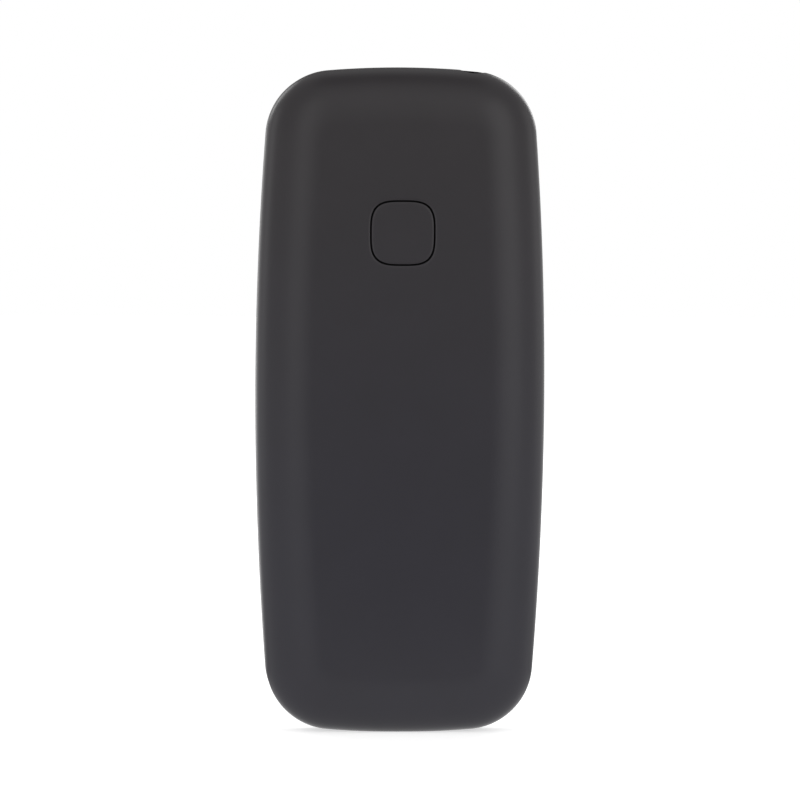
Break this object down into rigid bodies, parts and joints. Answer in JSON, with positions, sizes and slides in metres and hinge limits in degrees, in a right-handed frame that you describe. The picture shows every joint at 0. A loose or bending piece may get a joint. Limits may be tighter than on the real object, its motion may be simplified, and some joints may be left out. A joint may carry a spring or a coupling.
{
  "type": "feature phone",
  "caption": "Candy-bar feature phone with a barrel-sided matt black back cover, flush rounded-square rear key, front display window, navigation ring and number keypad.",
  "frame": {"origin": "middle of the box's underside, on the small standing flat of the lower end", "axes": "+Z along the length towards the headset socket, -Y out of the screen and keypad, +Y out of the back cover, +X to the right as the screen is seen"},
  "size_m": [0.0504, 0.013, 0.116],
  "materials": {
    "cover_plastic": "fine matt soft-touch black",
    "housing_plastic": "fine satin black",
    "window_clear": "gloss, clear with a black border",
    "foam": "closed-cell foam",
    "display_dark": "dark display, switched off",
    "flex_film": "amber film",
    "earpiece_can": "satin",
    "mesh_metal": "fine woven mesh",
    "mat_rubber": "matt",
    "key_plastic": "satin black with pale legends",
    "ring_satin": "satin silver paint",
    "dome_metal": "sprung steel",
    "board_green": "solder mask",
    "can_metal": "tinned steel",
    "chassis_plastic": "matt black",
    "battery_wrap": "printed wrap",
    "contact_gold": "gold flash",
    "weight_metal": "sintered metal",
    "socket_plastic": "moulded black",
    "screw_steel": "zinc plated"
  },
  "bodies": {
    "phone": {"assist_switch": "can_metal", "front_housing": "housing_plastic", "display_window": "window_clear", "display_gasket": "foam", "display_module": "display_dark", "display_flex": "flex_film", "earpiece": "earpiece_can", "earpiece_mesh": "mesh_metal", "keypad_mat": "mat_rubber", "dome_switches": "dome_metal", "main_board": "board_green", "shield_cans": "can_metal", "rear_chassis": "chassis_plastic", "battery": "battery_wrap", "battery_contacts": "contact_gold", "sim_socket_1": "can_metal", "sim_socket_2": "can_metal", "memory_card_socket": "can_metal", "vibration_motor": "can_metal", "usb_port": "can_metal", "audio_jack": "socket_plastic", "microphone": "can_metal", "antenna": "flex_film", "housing_screws": "screw_steel"},
    "back_cover": {"back_cover": "cover_plastic"},
    "assist_key": {"assist_key": "cover_plastic"},
    "key_1": {"key_1": "key_plastic"},
    "key_2": {"key_2": "key_plastic"},
    "key_3": {"key_3": "key_plastic"},
    "key_4": {"key_4": "key_plastic"},
    "key_5": {"key_5": "key_plastic"},
    "key_6": {"key_6": "key_plastic"},
    "key_7": {"key_7": "key_plastic"},
    "key_8": {"key_8": "key_plastic"},
    "key_9": {"key_9": "key_plastic"},
    "key_star": {"key_star": "key_plastic"},
    "key_0": {"key_0": "key_plastic"},
    "key_hash": {"key_hash": "key_plastic"},
    "soft_key_left": {"soft_key_left": "key_plastic"},
    "soft_key_right": {"soft_key_right": "key_plastic"},
    "call_key": {"call_key": "key_plastic"},
    "end_key": {"end_key": "key_plastic"},
    "ok_key": {"ok_key": "key_plastic"},
    "nav_ring": {"nav_ring": "ring_satin"},
    "nav_pad": {"nav_pad": "mat_rubber"},
    "eccentric_weight": {"eccentric_weight": "weight_metal"}
  },
  "joints": [
    {"name": "cover_swing", "type": "hinge", "parent": "phone", "child": "back_cover", "pos_m": [0, -0.00334, 0.00035], "axis": [-1, 0, 0], "range_deg": [0, 70]},
    {"name": "assist_key_press", "type": "slide", "parent": "phone", "child": "assist_key", "axis": [0, -1, 0], "range_m": [0, 0.0004], "stiffness_N_per_m": 800},
    {"name": "key_1_press", "type": "slide", "parent": "phone", "child": "key_1", "axis": [0, 1, 0], "range_m": [0, 0.0003], "stiffness_N_per_m": 800},
    {"name": "key_2_press", "type": "slide", "parent": "phone", "child": "key_2", "axis": [0, 1, 0], "range_m": [0, 0.0003], "stiffness_N_per_m": 800},
    {"name": "key_3_press", "type": "slide", "parent": "phone", "child": "key_3", "axis": [0, 1, 0], "range_m": [0, 0.0003], "stiffness_N_per_m": 800},
    {"name": "key_4_press", "type": "slide", "parent": "phone", "child": "key_4", "axis": [0, 1, 0], "range_m": [0, 0.0003], "stiffness_N_per_m": 800},
    {"name": "key_5_press", "type": "slide", "parent": "phone", "child": "key_5", "axis": [0, 1, 0], "range_m": [0, 0.0003], "stiffness_N_per_m": 800},
    {"name": "key_6_press", "type": "slide", "parent": "phone", "child": "key_6", "axis": [0, 1, 0], "range_m": [0, 0.0003], "stiffness_N_per_m": 800},
    {"name": "key_7_press", "type": "slide", "parent": "phone", "child": "key_7", "axis": [0, 1, 0], "range_m": [0, 0.0003], "stiffness_N_per_m": 800},
    {"name": "key_8_press", "type": "slide", "parent": "phone", "child": "key_8", "axis": [0, 1, 0], "range_m": [0, 0.0003], "stiffness_N_per_m": 800},
    {"name": "key_9_press", "type": "slide", "parent": "phone", "child": "key_9", "axis": [0, 1, 0], "range_m": [0, 0.0003], "stiffness_N_per_m": 800},
    {"name": "key_star_press", "type": "slide", "parent": "phone", "child": "key_star", "axis": [0, 1, 0], "range_m": [0, 0.0003], "stiffness_N_per_m": 800},
    {"name": "key_0_press", "type": "slide", "parent": "phone", "child": "key_0", "axis": [0, 1, 0], "range_m": [0, 0.0003], "stiffness_N_per_m": 800},
    {"name": "key_hash_press", "type": "slide", "parent": "phone", "child": "key_hash", "axis": [0, 1, 0], "range_m": [0, 0.0003], "stiffness_N_per_m": 800},
    {"name": "soft_key_left_press", "type": "slide", "parent": "phone", "child": "soft_key_left", "axis": [0, 1, 0], "range_m": [0, 0.0003], "stiffness_N_per_m": 800},
    {"name": "soft_key_right_press", "type": "slide", "parent": "phone", "child": "soft_key_right", "axis": [0, 1, 0], "range_m": [0, 0.0003], "stiffness_N_per_m": 800},
    {"name": "call_key_press", "type": "slide", "parent": "phone", "child": "call_key", "axis": [0, 1, 0], "range_m": [0, 0.0003], "stiffness_N_per_m": 800},
    {"name": "end_key_press", "type": "slide", "parent": "phone", "child": "end_key", "axis": [0, 1, 0], "range_m": [0, 0.0003], "stiffness_N_per_m": 800},
    {"name": "ok_key_press", "type": "slide", "parent": "phone", "child": "ok_key", "axis": [0, 1, 0], "range_m": [0, 0.0003], "stiffness_N_per_m": 800},
    {"name": "nav_rock_side", "type": "hinge", "parent": "phone", "child": "nav_pad", "pos_m": [0, -0.00376, 0.0487], "axis": [0, 0, 1], "range_deg": [-1.5, 1.5], "stiffness_Nm_per_rad": 0.02},
    {"name": "nav_rock_up", "type": "hinge", "parent": "nav_pad", "child": "nav_ring", "pos_m": [0, -0.00376, 0.0487], "axis": [1, 0, 0], "range_deg": [-1.5, 1.5], "stiffness_Nm_per_rad": 0.02},
    {"name": "weight_spin", "type": "hinge", "parent": "phone", "child": "eccentric_weight", "pos_m": [0.0036, 0.0006, 0.0136], "axis": [1, 0, 0], "continuous": true}
  ]
}
